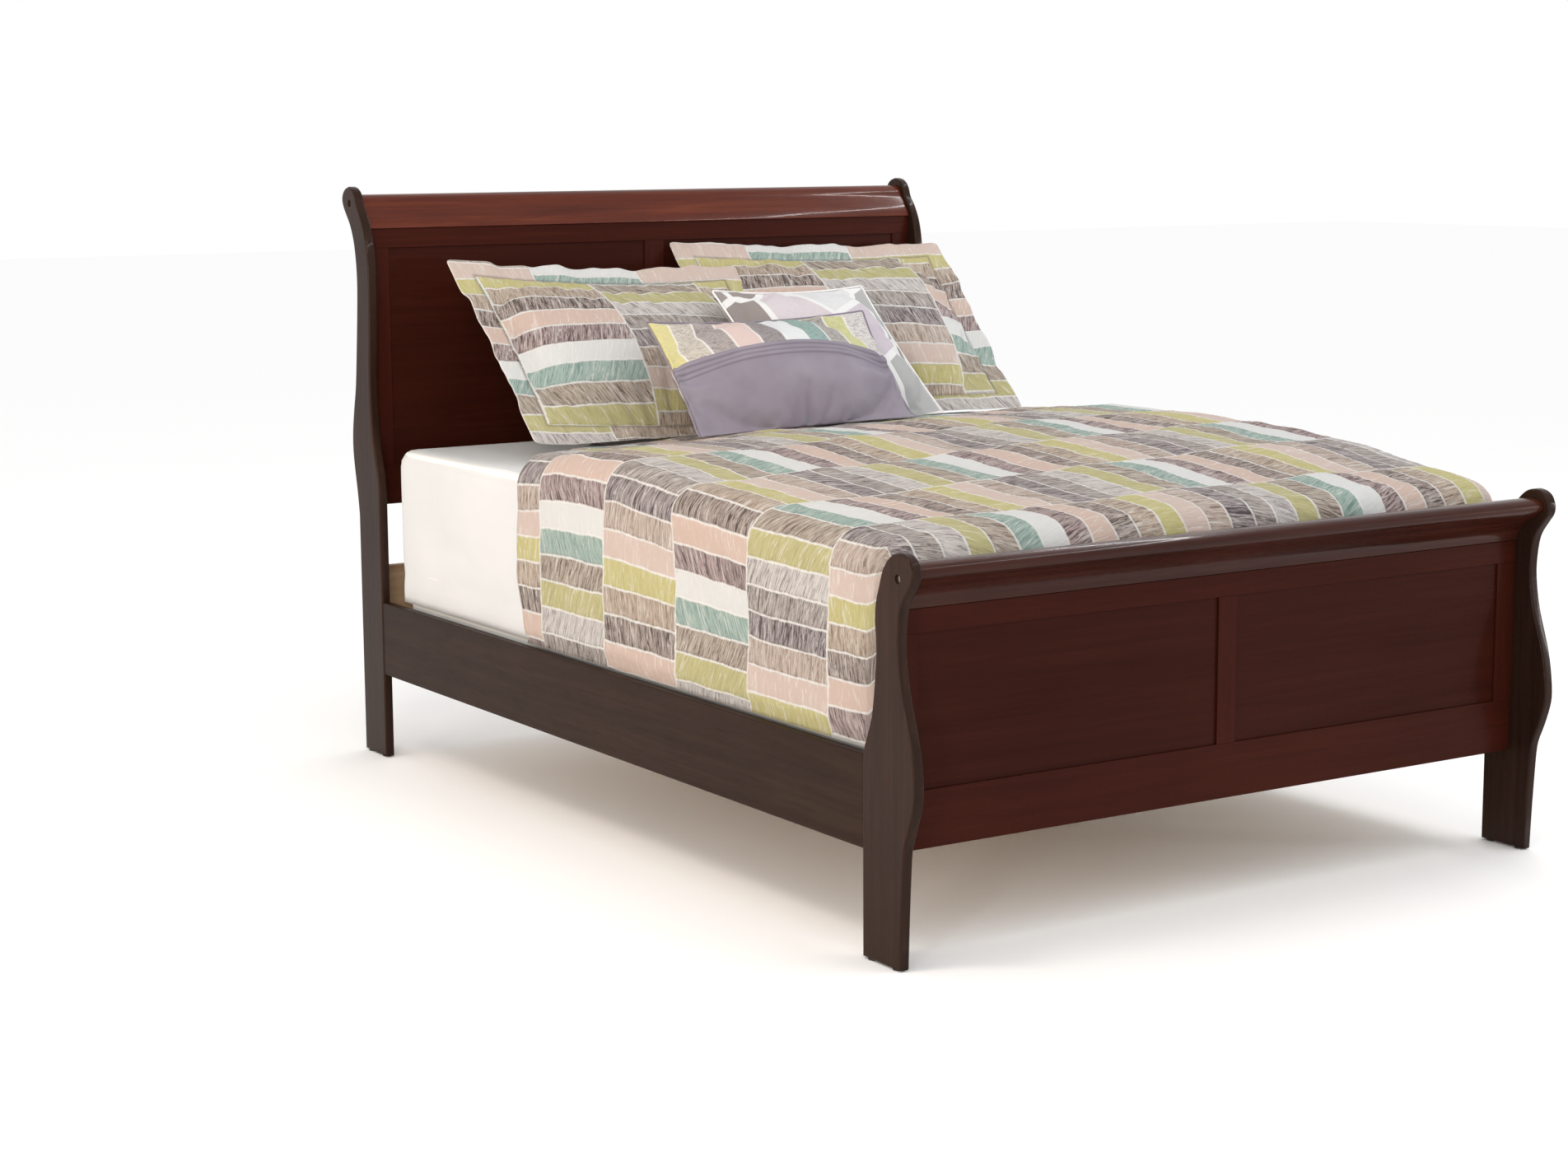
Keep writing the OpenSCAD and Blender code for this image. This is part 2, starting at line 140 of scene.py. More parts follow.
def ramp(tree, fac, stops, mode="LINEAR"):
    node = addNode(tree, "ValToRGB", {0: fac})
    node.color_ramp.interpolation = mode
    marks = node.color_ramp.elements
    while len(marks) < len(stops):
        marks.new(0.5)
    for mark, (place, colour) in zip(marks, stops):
        mark.position = place
        mark.color = (colour, colour, colour, 1) if isinstance(colour, float) else (*colour, 1)
    return node.outputs[0]


def mixColour(tree, fac, a, b, blend="MIX"):
    node = addNode(tree, "Mix", data_type="RGBA", blend_type=blend)
    for key, value in ((0, fac), (6, a), (7, b)):
        if isinstance(value, bpy.types.NodeSocket):
            tree.links.new(value, node.inputs[key])
        else:
            node.inputs[key].default_value = (*value, 1) if isinstance(value, tuple) else value
    return node.outputs[2]


def stretched(tree, source, scale, detail=4.0, rough=0.55, twist=0.0):
    place = addNode(tree, "Mapping", {0: source, 3: scale})
    return addNode(tree, "TexNoise", {"Vector": place.outputs[0], "Scale": 1.0, "Detail": detail,
                                      "Roughness": rough, "Distortion": twist}).outputs[0]


def bumped(tree, shader, height, strength, distance):
    node = addNode(tree, "Bump", {"Strength": strength, "Distance": distance, "Height": height})
    tree.links.new(node.outputs[0], shader.inputs["Normal"])


# ---- wood ----

woods = {
    # painted light: postWood and railWood are browner and less red than frameWood, standing in for the
    # brown-grey haze that light lays on the rails and on the posts' outer faces
    "postWood": {"dark": (0.0136, 0.0059, 0.0038), "mid": (0.0242, 0.0112, 0.0073),
                 "light": (0.0372, 0.0174, 0.0115), "gloss": 0.22, "coat": 0.09, "shine": 0.05},
    "crestWood": {"dark": (0.040, 0.0075, 0.0040), "mid": (0.086, 0.0175, 0.0085),
                  "light": (0.150, 0.036, 0.016), "gloss": 0.20, "coat": 0.18, "shine": 0.07},
    "frameWood": {"dark": (0.0288, 0.0061, 0.0039), "mid": (0.0391, 0.0082, 0.0048),
                  "light": (0.0512, 0.0113, 0.0065), "gloss": 0.24, "coat": 0.02, "shine": 0.03},
    "panelWood": {"dark": (0.0241, 0.0052, 0.0033), "mid": (0.0327, 0.0071, 0.0041),
                  "light": (0.0430, 0.0099, 0.0057), "gloss": 0.23, "coat": 0.02, "shine": 0.03},
    "railWood": {"dark": (0.0158, 0.0076, 0.0048), "mid": (0.0238, 0.0122, 0.0078),
                 "light": (0.0356, 0.0185, 0.0119), "gloss": 0.33, "coat": 0.02, "shine": 0.045},
    "rawBoard": {"dark": (0.22, 0.13, 0.07), "mid": (0.33, 0.22, 0.13),
                 "light": (0.44, 0.32, 0.20), "gloss": 0.62, "coat": 0.0, "shine": 0.3},
    "pine": {"dark": (0.36, 0.21, 0.10), "mid": (0.50, 0.33, 0.18),
             "light": (0.60, 0.43, 0.26), "gloss": 0.6, "coat": 0.0, "shine": 0.3},
}


def woodMaterial(kind, axis):
    look = woods[kind]
    mat, tree, shader = newMaterial(kind + "XYZ"[axis])
    at = addNode(tree, "TexCoord").outputs["Object"]

    def along(fine, slow):
        return tuple(slow if i == axis else fine for i in range(3))

    streak = stretched(tree, at, along(85, 2.6), 6, 0.62, 0.5)
    figure = stretched(tree, at, along(17, 0.9), 4, 0.55, 1.6)
    blotch = stretched(tree, at, (3.1, 3.1, 3.1), 2, 0.5, 0.3)
    tone = plus(tree, times(tree, figure, 0.36), times(tree, blotch, 0.22))
    tone = plus(tree, times(tree, streak, 0.42), tone)
    colour = ramp(tree, tone, [(0.30, look["dark"]), (0.50, look["mid"]), (0.70, look["light"])])
    pores = ramp(tree, stretched(tree, at, along(620, 16), 3, 0.5), [(0.56, 0.0), (0.66, 1.0)])
    colour = mixColour(tree, times(tree, pores, 0.45), colour, look["dark"])
    if kind == "crestWood":
        # painted shade: the low footboard crest is darkened, as its shaded face reflects dark surroundings,
        # while the high headboard crest keeps the brighter lit tone
        high = ramp(tree, addNode(tree, "SeparateXYZ", {0: at}).outputs[2], [(0.90, 0.0), (0.98, 1.0)])
        colour = mixColour(tree, high, mixColour(tree, 1.0, colour, (0.42, 0.50, 0.60), "MULTIPLY"), colour)
    tree.links.new(colour, shader.inputs["Base Color"])
    smear = stretched(tree, at, (9, 9, 9), 3, 0.6)
    rough = timesPlus(tree, smear, 0.14, look["gloss"] - 0.05)
    tree.links.new(timesPlus(tree, pores, 0.08, rough), shader.inputs["Roughness"])
    shader.inputs["Specular IOR Level"].default_value = look["shine"]
    shader.inputs["Coat Weight"].default_value = look["coat"]
    shader.inputs["Coat Roughness"].default_value = 0.07
    height = timesPlus(tree, pores, -0.5, times(tree, streak, 0.6))
    bumped(tree, shader, height, 0.25 if look["coat"] else 0.6, 0.0006)
    return mat


def metalMaterial():
    mat, tree, shader = newMaterial("zincSteel")
    at = addNode(tree, "TexCoord").outputs["Object"]
    spangle = stretched(tree, at, (160, 160, 160), 3, 0.6)
    colour = ramp(tree, spangle, [(0.3, (0.42, 0.42, 0.40)), (0.7, (0.66, 0.65, 0.62))])
    tree.links.new(colour, shader.inputs["Base Color"])
    tree.links.new(timesPlus(tree, spangle, 0.25, 0.22), shader.inputs["Roughness"])
    shader.inputs["Metallic"].default_value = 1.0
    bumped(tree, shader, spangle, 0.15, 0.0003)
    return mat


def plasticMaterial():
    mat, tree, shader = newMaterial("blackPlastic")
    at = addNode(tree, "TexCoord").outputs["Object"]
    grain = stretched(tree, at, (900, 900, 900), 2, 0.5)
    colour = ramp(tree, grain, [(0.3, (0.012, 0.012, 0.012)), (0.7, (0.028, 0.027, 0.026))])
    tree.links.new(colour, shader.inputs["Base Color"])
    tree.links.new(timesPlus(tree, grain, 0.2, 0.42), shader.inputs["Roughness"])
    bumped(tree, shader, grain, 0.3, 0.0002)
    return mat


# ---- posts: the same outline as the board, with a full round along every edge ----

posts = {"outer": 0.8, "inner": 0.778, "round": 0.0046, "steps": 5,
         "bolt": 0.008, "boltDepth": 0.0121, "boltSides": 32, "shadeWeight": 90}
# the bolt recess from its softened lip down to its floor: (extra radius, depth)
recess = ((0.0012, 0), (0.0004, 0.0004), (0, 0.0012), (0, posts["boltDepth"]))


def outlineLoops(node, faceX):
    # closed loops of (y, z) around the flat face at faceX
    mesh = nodes[node].data
    edges = {}
    for face in mesh.polygons:
        corner = [mesh.vertices[k].co for k in face.vertices]
        if all(abs(c.x - faceX) < 1e-5 for c in corner):
            keys = [(round(c.y, 5), round(c.z, 5)) for c in corner]
            edges.update(dict.fromkeys(zip(keys, keys[1:] + keys[:1])))
    # an edge used in one direction only lies on the border
    after = {a: b for (a, b) in edges if (b, a) not in edges}
    loops = []
    while after:
        start = next(iter(after))
        loop, at = [], start
        while at in after:
            loop.append(at)
            at = after.pop(at)
        loops.append(loop)
    return sorted(loops, key=len, reverse=True)


def insetLoop(loop, amount):
    n = len(loop)
    area = sum(loop[k][0] * loop[(k + 1) % n][1] - loop[(k + 1) % n][0] * loop[k][1] for k in range(n))
    turn = 1 if area > 0 else -1
    moved = []
    for k in range(n):
        a, b, c = Vector(loop[k - 1]), Vector(loop[k]), Vector(loop[(k + 1) % n])
        u, v = (b - a).normalized(), (c - b).normalized()
        inward = Vector((-u.y - v.y, u.x + v.x)) * turn
        inward.normalize()
        lean = max(abs(inward.dot(Vector((-u.y, u.x)))), 0.5)
        moved.append(b + inward * amount / lean)
    return moved


def loopEdges(body, ring):
    return [body.edges.get((ring[k], ring[(k + 1) % len(ring)])) for k in range(len(ring))]


def buildPost(node, side, mat):
    outer, inner = posts["outer"] * side, posts["inner"] * side
    loops = outlineLoops(node, outer)
    body = bmesh.new()
    rings = []
    r = posts["round"]
    angles = [math.pi / 2 * k / posts["steps"] for k in range(posts["steps"] + 1)]
    profile = [(r * (1 - math.sin(t)), r * (1 - math.cos(t))) for t in angles]
    for inset, back in profile:
        rings.append([body.verts.new((outer - side * back, *p)) for p in insetLoop(loops[0], inset)])
    for inset, back in reversed(profile):
        rings.append([body.verts.new((inner + side * back, *p)) for p in insetLoop(loops[0], inset)])
    hole = loops[1]
    centre = sum((Vector(p) for p in hole), Vector((0, 0))) / len(hole)
    wall = []
    for grow, back in recess:
        ring = []
        for k in range(posts["boltSides"]):
            t = 2 * math.pi * k / posts["boltSides"]
            radius = posts["bolt"] + grow
            y, z = centre.x + radius * math.cos(t), centre.y + radius * math.sin(t)
            ring.append(body.verts.new((outer - side * back, y, z)))
        wall.append(ring)
    for stack in (rings, wall):
        n = len(stack[0])
        for a, b in zip(stack, stack[1:]):
            for k in range(n):
                body.faces.new((a[k], a[(k + 1) % n], b[(k + 1) % n], b[k]))
    body.faces.new(wall[-1])
    for edges in (loopEdges(body, rings[0]) + loopEdges(body, wall[0]), loopEdges(body, rings[-1])):
        bmesh.ops.triangle_fill(body, use_beauty=True, use_dissolve=False, edges=edges)
    bmesh.ops.recalc_face_normals(body, faces=body.faces[:])
    mesh = bpy.data.meshes.new(node + "_board")
    body.to_mesh(mesh)
    body.free()
    mesh.polygons.foreach_set("use_smooth", [True] * len(mesh.polygons))
    o = bpy.data.objects.new(node + "_board", mesh)
    scene.collection.objects.link(o)
    o.data.materials.append(mat)
    smooth = o.modifiers.new("smooth", "WEIGHTED_NORMAL")
    smooth.weight = posts["shadeWeight"]
    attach(o, "bed")
    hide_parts(node)


# grain axis and edge rounding of every hard piece: wood kind, axis 0 1 2, edge radius in metres
grains = {
    "crest_rail": ("crestWood", 0, 0.002),
    "_upper_rail": ("frameWood", 0, 0.0012),
    "_bottom_rail": ("frameWood", 0, 0.0014),
    "_stile": ("frameWood", 2, 0.001),
    "_panel": ("panelWood", 0, 0.001),
    "stretcher": ("rawBoard", 0, 0.0015),
    "_side_rail": ("railWood", 1, 0.003),
    "slat_cleat": ("pine", 1, 0.0015),
    "slats": ("pine", 0, 0.0015),
    "dowels": ("pine", 0, 0.0008),
    "centre_beam": ("pine", 1, 0.0015),
    "centre_legs": ("pine", 2, 0.0015),
}
hardEdge = {"weld": 0.00002, "segments": 3, "angle": 34, "hardware": 0.0005, "clampBelow": 0.0008}


def finishHardPieces():
    made = {}
    metal, plastic = metalMaterial(), plasticMaterial()
    postWood = woodMaterial("postWood", 2)
    for name, o in nodes.items():
        if name.endswith("_post"):
            buildPost(name, -1 if "left" in name else 1, postWood)
            continue
        found = next((g for key, g in grains.items() if key in name and "screws" not in name), None)
        if found:
            kind, axis, radius = found
            if (kind, axis) not in made:
                made[(kind, axis)] = woodMaterial(kind, axis)
            mat = made[(kind, axis)]
        else:
            radius = hardEdge["hardware"]
            mat = plastic if "glide" in name or "levelling" in name else metal
        for place in o.material_slots:
            place.material = mat
        weld = o.modifiers.new("weld", "WELD")
        weld.merge_threshold = hardEdge["weld"]
        edge = o.modifiers.new("edge", "BEVEL")
        edge.width = radius
        edge.segments = hardEdge["segments"]
        edge.limit_method = "ANGLE"
        edge.angle_limit = math.radians(hardEdge["angle"])
        edge.use_clamp_overlap = radius < hardEdge["clampBelow"]
        smooth = o.modifiers.new("smooth", "WEIGHTED_NORMAL")
        smooth.keep_sharp = False
        for face in o.data.polygons:
            face.use_smooth = True


# ---- shared mesh helpers ----

def meshObject(name, points, faces, uv, rim=None):
    mesh = bpy.data.meshes.new(name)
    mesh.from_pydata([tuple(p) for p in points], [], faces)
    for title, table in (("flat", uv), ("rim", rim)):
        if table is None:
            continue
        layer = mesh.uv_layers.new(name=title)
        order = np.empty(len(mesh.loops), np.int32)
        mesh.loops.foreach_get("vertex_index", order)
        layer.data.foreach_set("uv", np.asarray(table, np.float32)[order].ravel())
    mesh.polygons.foreach_set("use_smooth", [True] * len(mesh.polygons))
    o = bpy.data.objects.new(name, mesh)
    scene.collection.objects.link(o)
    return o


def gridFaces(nx, ny):
    corners = [j * (nx + 1) + i for j in range(ny) for i in range(nx)]
    return [(a, a + 1, a + nx + 2, a + nx + 1) for a in corners]


def wobble(x, y, z, size, seed):
    return noise.noise(Vector((x / size + seed * 7.3, y / size - seed * 3.1, z / size + seed)))


def applyModifiers(o):
    depsgraph = bpy.context.evaluated_depsgraph_get()
    mesh = bpy.data.meshes.new_from_object(o.evaluated_get(depsgraph))
    old = o.data
    o.modifiers.clear()
    o.data = mesh
    bpy.data.meshes.remove(old)


def thicken(o, thickness, offset=-1):
    shell = o.modifiers.new("shell", "SOLIDIFY")
    shell.thickness = thickness
    shell.offset = offset
    shell.use_even_offset = False
    applyModifiers(o)


# a cloth laid over a box with rounded edges: flat cloth point to place on the bed
def overEdge(ex, ey, dropX, dropY, radius):
    far = max(ex / dropX if dropX else 0, ey / dropY if dropY else 0)
    if far <= 0:
        return 0.0, 0.0, 0.0, 0.0
    turn = math.atan2(ey, ex)
    reach = 1 / math.sqrt((math.cos(turn) / dropX) ** 2 + (math.sin(turn) / dropY) ** 2)
    d = min(far, 1.0) * reach
    quarter = radius * math.pi / 2
    if d < quarter:
        out, down = radius * math.sin(d / radius), radius * (1 - math.cos(d / radius))
    else:
        out, down = radius, radius + d - quarter
    return out, down, math.cos(turn), math.sin(turn)


def smoothStep(a, b, x):
    t = min(max((x - a) / (b - a), 0), 1)
    return t * t * (3 - 2 * t)


# ---- quilt ----

quilt = {"halfWidth": 0.712, "foot": -0.992, "radius": 0.066, "sideDrop": 0.455, "footDrop": 0.33,
         "column": 0.28, "row": 0.057, "puff": 0.0012, "thickness": 0.008, "step": 0.0085, "stagger": 0.37,
         "headEnd": 0.80, "hem": 0.3805, "widest": 0.7885, "tuckIn": 0.0145, "footLimit": -1.0622}

# height of the quilt along the bed at its left and right edges: (y, left, right)
quiltRise = [(-1.10, 0.752, 0.750), (-1.00, 0.758, 0.764), (-0.90, 0.762, 0.780), (-0.64, 0.768, 0.812),
             (-0.36, 0.784, 0.829), (-0.07, 0.808, 0.832), (0.15, 0.806, 0.826), (0.32, 0.786, 0.812),
             (0.46, 0.768, 0.794), (0.60, 0.763, 0.774), (0.90, 0.761, 0.765)]
# head edge of the quilt over its width: (x on the flat cloth, y)
quiltHead = [(-1.17, 0.318), (-1.00, 0.345), (-0.86, 0.342), (-0.76, 0.342), (-0.66, 0.372), (-0.54, 0.515),
             (-0.40, 0.655), (-0.22, 0.762), (0.0, 0.812), (0.3, 0.80), (0.55, 0.742), (0.72, 0.68),
             (0.95, 0.62), (1.17, 0.60)]


def between(table, x, col=1):
    for a, b in zip(table, table[1:]):
        if x <= b[0]:
            t = smoothStep(a[0], b[0], x) * 0.5 + 0.5 * min(max((x - a[0]) / (b[0] - a[0]), 0), 1)
            return a[col] + (b[col] - a[col]) * t
    return table[-1][col]


def quiltTop(x, y):
    side = smoothStep(-0.8, 0.8, x)
    low = between(quiltRise, y, 1) * (1 - side) + between(quiltRise, y, 2) * side
    return low + 0.006 * (1 - (x / 0.8) ** 2)


def buildQuilt():
    q = quilt
    a, r = q["halfWidth"], q["radius"]
    wide = a + q["sideDrop"]
    nx = int(2 * wide / q["step"])
    long = q["headEnd"] - q["foot"] + q["footDrop"]
    ny = int(long / q["step"])
    points, uv, rim = [], [], []
    for j in range(ny + 1):
        for i in range(nx + 1):
            fx = -wide + 2 * wide * i / nx
            head = between(quiltHead, fx)
            start = q["foot"] - q["footDrop"]
            fy = start + (head - start) * j / ny
            ex, ey = max(abs(fx) - a, 0), max(q["foot"] - fy, 0)
            out, down, cx, cy = overEdge(ex, ey, q["sideDrop"], q["footDrop"], r)
            side = 1 if fx > 0 else -1
            x = side * min(abs(fx), a) + side * out * cx
            y = max(fy, q["foot"]) - out * cy
            z = quiltTop(x, y) - down
            # on the sides the cloth is let down to the rails whatever the height above
            fall = smoothStep(0.02, q["sideDrop"], ex) * cx * cx
            z += (q["hem"] - (quiltTop(x, y) - (r + q["sideDrop"] - r * math.pi / 2))) * fall
            over = min(out / r, 1)
            nrm = Vector((side * cx * over, -cy * over, 1 - min(down / r, 1))).normalized()
            # rows and columns of patches stand a little proud between their seams
            column = fy / q["column"] + patchwork["firstColumn"]
            part = column - math.floor(column)
            rowAt = fx / q["row"] + patchwork["firstRow"] + math.floor(column) * q["stagger"]
            rowPart = rowAt - math.floor(rowAt)
            puff = (1 - abs(2 * part - 1) ** 14) * (0.45 + 0.55 * math.sin(math.pi * rowPart) ** 0.6)
            # broad swells, smaller dents, then fine gathers
            swell = 0.0065 * (wobble(fx, fy, 0, 0.21, 1) + 0.3)
            swell += 0.0036 * (wobble(fx, fy, 0, 0.085, 2) + 0.25)
            lift = q["puff"] * puff + swell
            lift += 0.0011 * wobble(fx, fy * 2.4, 0, 0.02, 3)
            if ex > 0.05:
                hang = smoothStep(0.05, 0.2, ex) * smoothStep(q["sideDrop"], 0.32, ex)
                lift += 0.006 * hang * (math.sin(fy * 7.5 + 1.1) * 0.6 + wobble(0, fy, 0, 0.33, 4))
            x += nrm.x * lift
            y += nrm.y * lift
            z += nrm.z * lift
            tight = smoothStep(0.86, 1.0, ex / q["sideDrop"])
            nearPost = smoothStep(-0.93, -1.0, y)
            most = q["widest"] - q["tuckIn"] * max(tight, nearPost)
            x = max(-most, min(most, x))
            y = max(y, q["footLimit"])
            points.append((x, y, z))
            uv.append((fx, fy))
            rim.append((min(wide - abs(fx), 1), min((head - fy), fy - start)))
    o = meshObject("quilt_cover", points, gridFaces(nx, ny), uv, rim)
    thicken(o, q["thickness"])
    return o


# ---- patchwork fabric, drawn on the flat cloth in metres ----

patchwork = {
    # colour of the cloth, how strong the printed strokes are, colour of the strokes
    "cloths": [
        ((0.33, 0.42, 0.38), 0.50, (0.09, 0.17, 0.16)),
        ((0.64, 0.645, 0.64), 0.04, (0.50, 0.50, 0.50)),
        ((0.39, 0.31, 0.30), 0.95, (0.075, 0.045, 0.05)),
        ((0.56, 0.43, 0.37), 0.05, (0.50, 0.32, 0.26)),
        ((0.36, 0.30, 0.27), 1.00, (0.055, 0.038, 0.036)),
        ((0.46, 0.38, 0.31), 0.75, (0.17, 0.12, 0.09)),
        ((0.50, 0.46, 0.22), 0.30, (0.34, 0.28, 0.11)),
        ((0.57, 0.46, 0.41), 0.05, (0.50, 0.32, 0.26)),
        ((0.48, 0.40, 0.35), 0.70, (0.18, 0.13, 0.10)),
        ((0.33, 0.29, 0.29), 1.00, (0.060, 0.045, 0.050)),
        ((0.40, 0.36, 0.34), 0.90, (0.10, 0.08, 0.07)),
        ((0.55, 0.52, 0.50), 0.70, (0.17, 0.14, 0.15)),
        ((0.46, 0.43, 0.22), 0.40, (0.28, 0.24, 0.12)),
        ((0.42, 0.36, 0.30), 0.85, (0.11, 0.08, 0.07)),
    ],
    "seam": (0.74, 0.73, 0.71), "firstColumn": 40.15, "firstRow": 60.0,
}


def shares(pairs):
    return [(i / len(pairs), value) for i, value in enumerate(pairs)]


def fabricShader(tree, shader, colour, height, depth, rough=0.86):
    tree.links.new(colour, shader.inputs["Base Color"])
    shader.inputs["Roughness"].default_value = rough
    shader.inputs["Specular IOR Level"].default_value = 0.10
    shader.inputs["Sheen Weight"].default_value = 0.06
    shader.inputs["Sheen Roughness"].default_value = 0.5
    bumped(tree, shader, height, 0.8, depth)


def weave(tree, at, count):
    place = addNode(tree, "Mapping", {0: at, 3: (count, count, count)}).outputs[0]
    warp = addNode(tree, "TexWave", {"Vector": place, "Scale": 1.0}, bands_direction="X").outputs[1]
    weft = addNode(tree, "TexWave", {"Vector": place, "Scale": 1.0}, bands_direction="Y").outputs[1]
    return times(tree, warp, weft)


def patchMaterial(name, column, row, seed, stagger, across=False):
    mat, tree, shader = newMaterial(name)
    at = addNode(tree, "UVMap", uv_map="flat").outputs[0]
    parts = addNode(tree, "SeparateXYZ", {0: at})
    u, v = (parts.outputs[1], parts.outputs[0]) if across else (parts.outputs[0], parts.outputs[1])
    sway = times(tree, minus(tree, stretched(tree, at, (14, 14, 14), 2), 0.5), 0.010)
    columnAt = plus(tree, calc(tree, "DIVIDE", plus(tree, v, sway), column), patchwork["firstColumn"])
    columnNo = calc(tree, "FLOOR", columnAt)
    rowAt = plus(tree, calc(tree, "DIVIDE", plus(tree, u, sway), row), patchwork["firstRow"])
    rowAt = timesPlus(tree, columnNo, stagger, rowAt)
    rowNo = calc(tree, "FLOOR", rowAt)
    rowPart = calc(tree, "FRACT", rowAt)
    # the cloths follow one another in a fixed order that starts elsewhere in every column
    cloths = patchwork["cloths"]
    jump = calc(tree, "FLOOR", times(tree, times(tree, columnNo, columnNo), 0.37))
    turn = plus(tree, timesPlus(tree, columnNo, 5.0, rowNo), plus(tree, jump, seed + 0.5))
    pick = calc(tree, "FRACT", calc(tree, "DIVIDE", turn, float(len(cloths))))
    ground = ramp(tree, pick, shares([c[0] for c in cloths]), "CONSTANT")
    power = ramp(tree, pick, shares([c[1] for c in cloths]), "CONSTANT")
    ink = ramp(tree, pick, shares([c[2] for c in cloths]), "CONSTANT")
    # hair-line strokes across each patch, with a slight slant that changes from patch to patch
    slant = times(tree, minus(tree, pick, 0.5), 1.1)
    vTilt = timesPlus(tree, u, slant, v)
    tilted = addNode(tree, "CombineXYZ", {0: u, 1: vTilt, 2: pick}).outputs[0]
    fine = stretched(tree, tilted, (30, 330, 9), 5, 0.7, 0.7)
    bold = stretched(tree, tilted, (17, 120, 5), 3, 0.6, 1.4)
    strokes = ramp(tree, fine, [(0.49, 0.0), (0.57, 1.0)])
    # the bold pattern is partly printed strokes and partly painted shade in the crease hollows (heavy),
    # with painted highlights on the crease ridges (light)
    inkAndCreaseShade = ramp(tree, bold, [(0.55, 0.0), (0.61, 1.0)])
    light = ramp(tree, bold, [(0.38, 1.0), (0.43, 0.0)])
    inked = times(tree, timesPlus(tree, inkAndCreaseShade, 0.75, times(tree, strokes, 0.75)), power)
    colour = mixColour(tree, calc(tree, "MINIMUM", inked, 1.0), ground, ink)
    # painted highlight: pale colour laid along the ridges of the bold gathers
    colour = mixColour(tree, times(tree, light, 0.42), colour, (0.74, 0.72, 0.69))
    # white seams with a dark stitched shadow along one side
    edgeV = times(tree, calc(tree, "PINGPONG", columnAt, 0.5), column)
    edgeU = times(tree, calc(tree, "PINGPONG", rowAt, 0.5), row)
    edge = calc(tree, "MINIMUM", edgeV, edgeU)
    uneven = stretched(tree, at, (70, 70, 70), 2)
    edge = timesPlus(tree, minus(tree, uneven, 0.5), 0.004, edge)
    seam = ramp(tree, edge, [(0.0014, 1.0), (0.0032, 0.0)])
    underSeam = ramp(tree, times(tree, rowPart, row), [(0.003, 1.0), (0.0065, 0.0)])
    dotted = ramp(tree, stretched(tree, at, (60, 240, 9), 2), [(0.45, 0.0), (0.55, 1.0)])
    shade = times(tree, times(tree, underSeam, dotted), times(tree, power, 0.7))
    colour = mixColour(tree, shade, colour, (0.10, 0.07, 0.065))
    colour = mixColour(tree, seam, colour, patchwork["seam"])
    rim = addNode(tree, "SeparateXYZ", {0: addNode(tree, "UVMap", uv_map="rim").outputs[0]})
    nearest = calc(tree, "MINIMUM", rim.outputs[0], rim.outputs[1])
    binding = ramp(tree, nearest, [(0.0016, 1.0), (0.0026, 0.0)])
    colour = mixColour(tree, binding, colour, patchwork["seam"])
    if across:
        # painted shade: a dark line on the flange along the seam, where the puffed body meets it
        seamShade = ramp(tree, rim.outputs[0], [(0.044, 0.0), (0.051, 0.55), (0.060, 0.0)])
        colour = mixColour(tree, seamShade, colour, (0.10, 0.08, 0.07))
    height = timesPlus(tree, fine, 0.55, times(tree, bold, 0.8))
    height = timesPlus(tree, seam, 0.5, height)
    height = timesPlus(tree, weave(tree, at, 1400), 0.06, height)
    fabricShader(tree, shader, colour, height, 0.0058)
    return mat


def plainFabric(name, colour, other, crease, depth=0.0012):
    mat, tree, shader = newMaterial(name)
    at = addNode(tree, "UVMap", uv_map="flat").outputs[0]
    cloud = stretched(tree, at, (crease, crease * 0.6, crease), 4, 0.6, 0.8)
    threads = weave(tree, at, 900)
    tint = ramp(tree, cloud, [(0.3, colour), (0.7, other)])
    tint = mixColour(tree, times(tree, threads, 0.10), tint, tuple(c * 0.8 for c in colour))
    height = timesPlus(tree, threads, 0.12, cloud)
    fabricShader(tree, shader, tint, height, depth)
    return mat


# ---- sheet, mattress and box spring ----

sheet = {"halfWidth": 0.726, "foot": -1.003, "head": 0.957, "radius": 0.038, "top": 0.7465, "waist": 0.452,
         "low": 0.384, "step": 0.016, "thickness": 0.0018}


def buildSheet():
    s = sheet
    a, r = s["halfWidth"], s["radius"]
    top = s["top"]
    drop = top - s["low"] - r + r * math.pi / 2
    mid, half = (s["head"] + s["foot"]) / 2, (s["head"] - s["foot"]) / 2
    nx, ny = int(2 * (a + drop) / s["step"]), int(2 * (half + drop) / s["step"])
    points, uv = [], []
    for j in range(ny + 1):
        for i in range(nx + 1):
            fx = -(a + drop) + 2 * (a + drop) * i / nx
            fy = -(half + drop) + 2 * (half + drop) * j / ny
            ex, ey = max(abs(fx) - a, 0), max(abs(fy) - half, 0)
            out, down, cx, cy = overEdge(ex, ey, drop, drop, r)
            sx, sy = (1 if fx > 0 else -1), (1 if fy > 0 else -1)
            x = sx * (min(abs(fx), a) + out * cx)
            y = mid + sy * (min(abs(fy), half) + out * cy)
            z = top - down
            # the cloth dips where the mattress meets the box spring
            waist = math.exp(-((z - s["waist"]) / 0.02) ** 2)
            hanging = out > r * 0.9
            ripple = 0.0016 * wobble(fx, fy, 0, 0.16, 6) + 0.0012 * wobble(x, y, z * 0.2, 0.07, 8) * hanging
            push = ripple - 0.0025 * waist * hanging
            x += sx * cx * push * (out > 0)
            y += sy * cy * push * (out > 0)
            z += ripple * (1 if down < r * 0.5 else 0)
            points.append((x, y, max(z, s["low"])))
            uv.append((fx, fy))
    o = meshObject("sheet_cover", points, gridFaces(nx, ny), uv)
    thicken(o, s["thickness"])
    return o


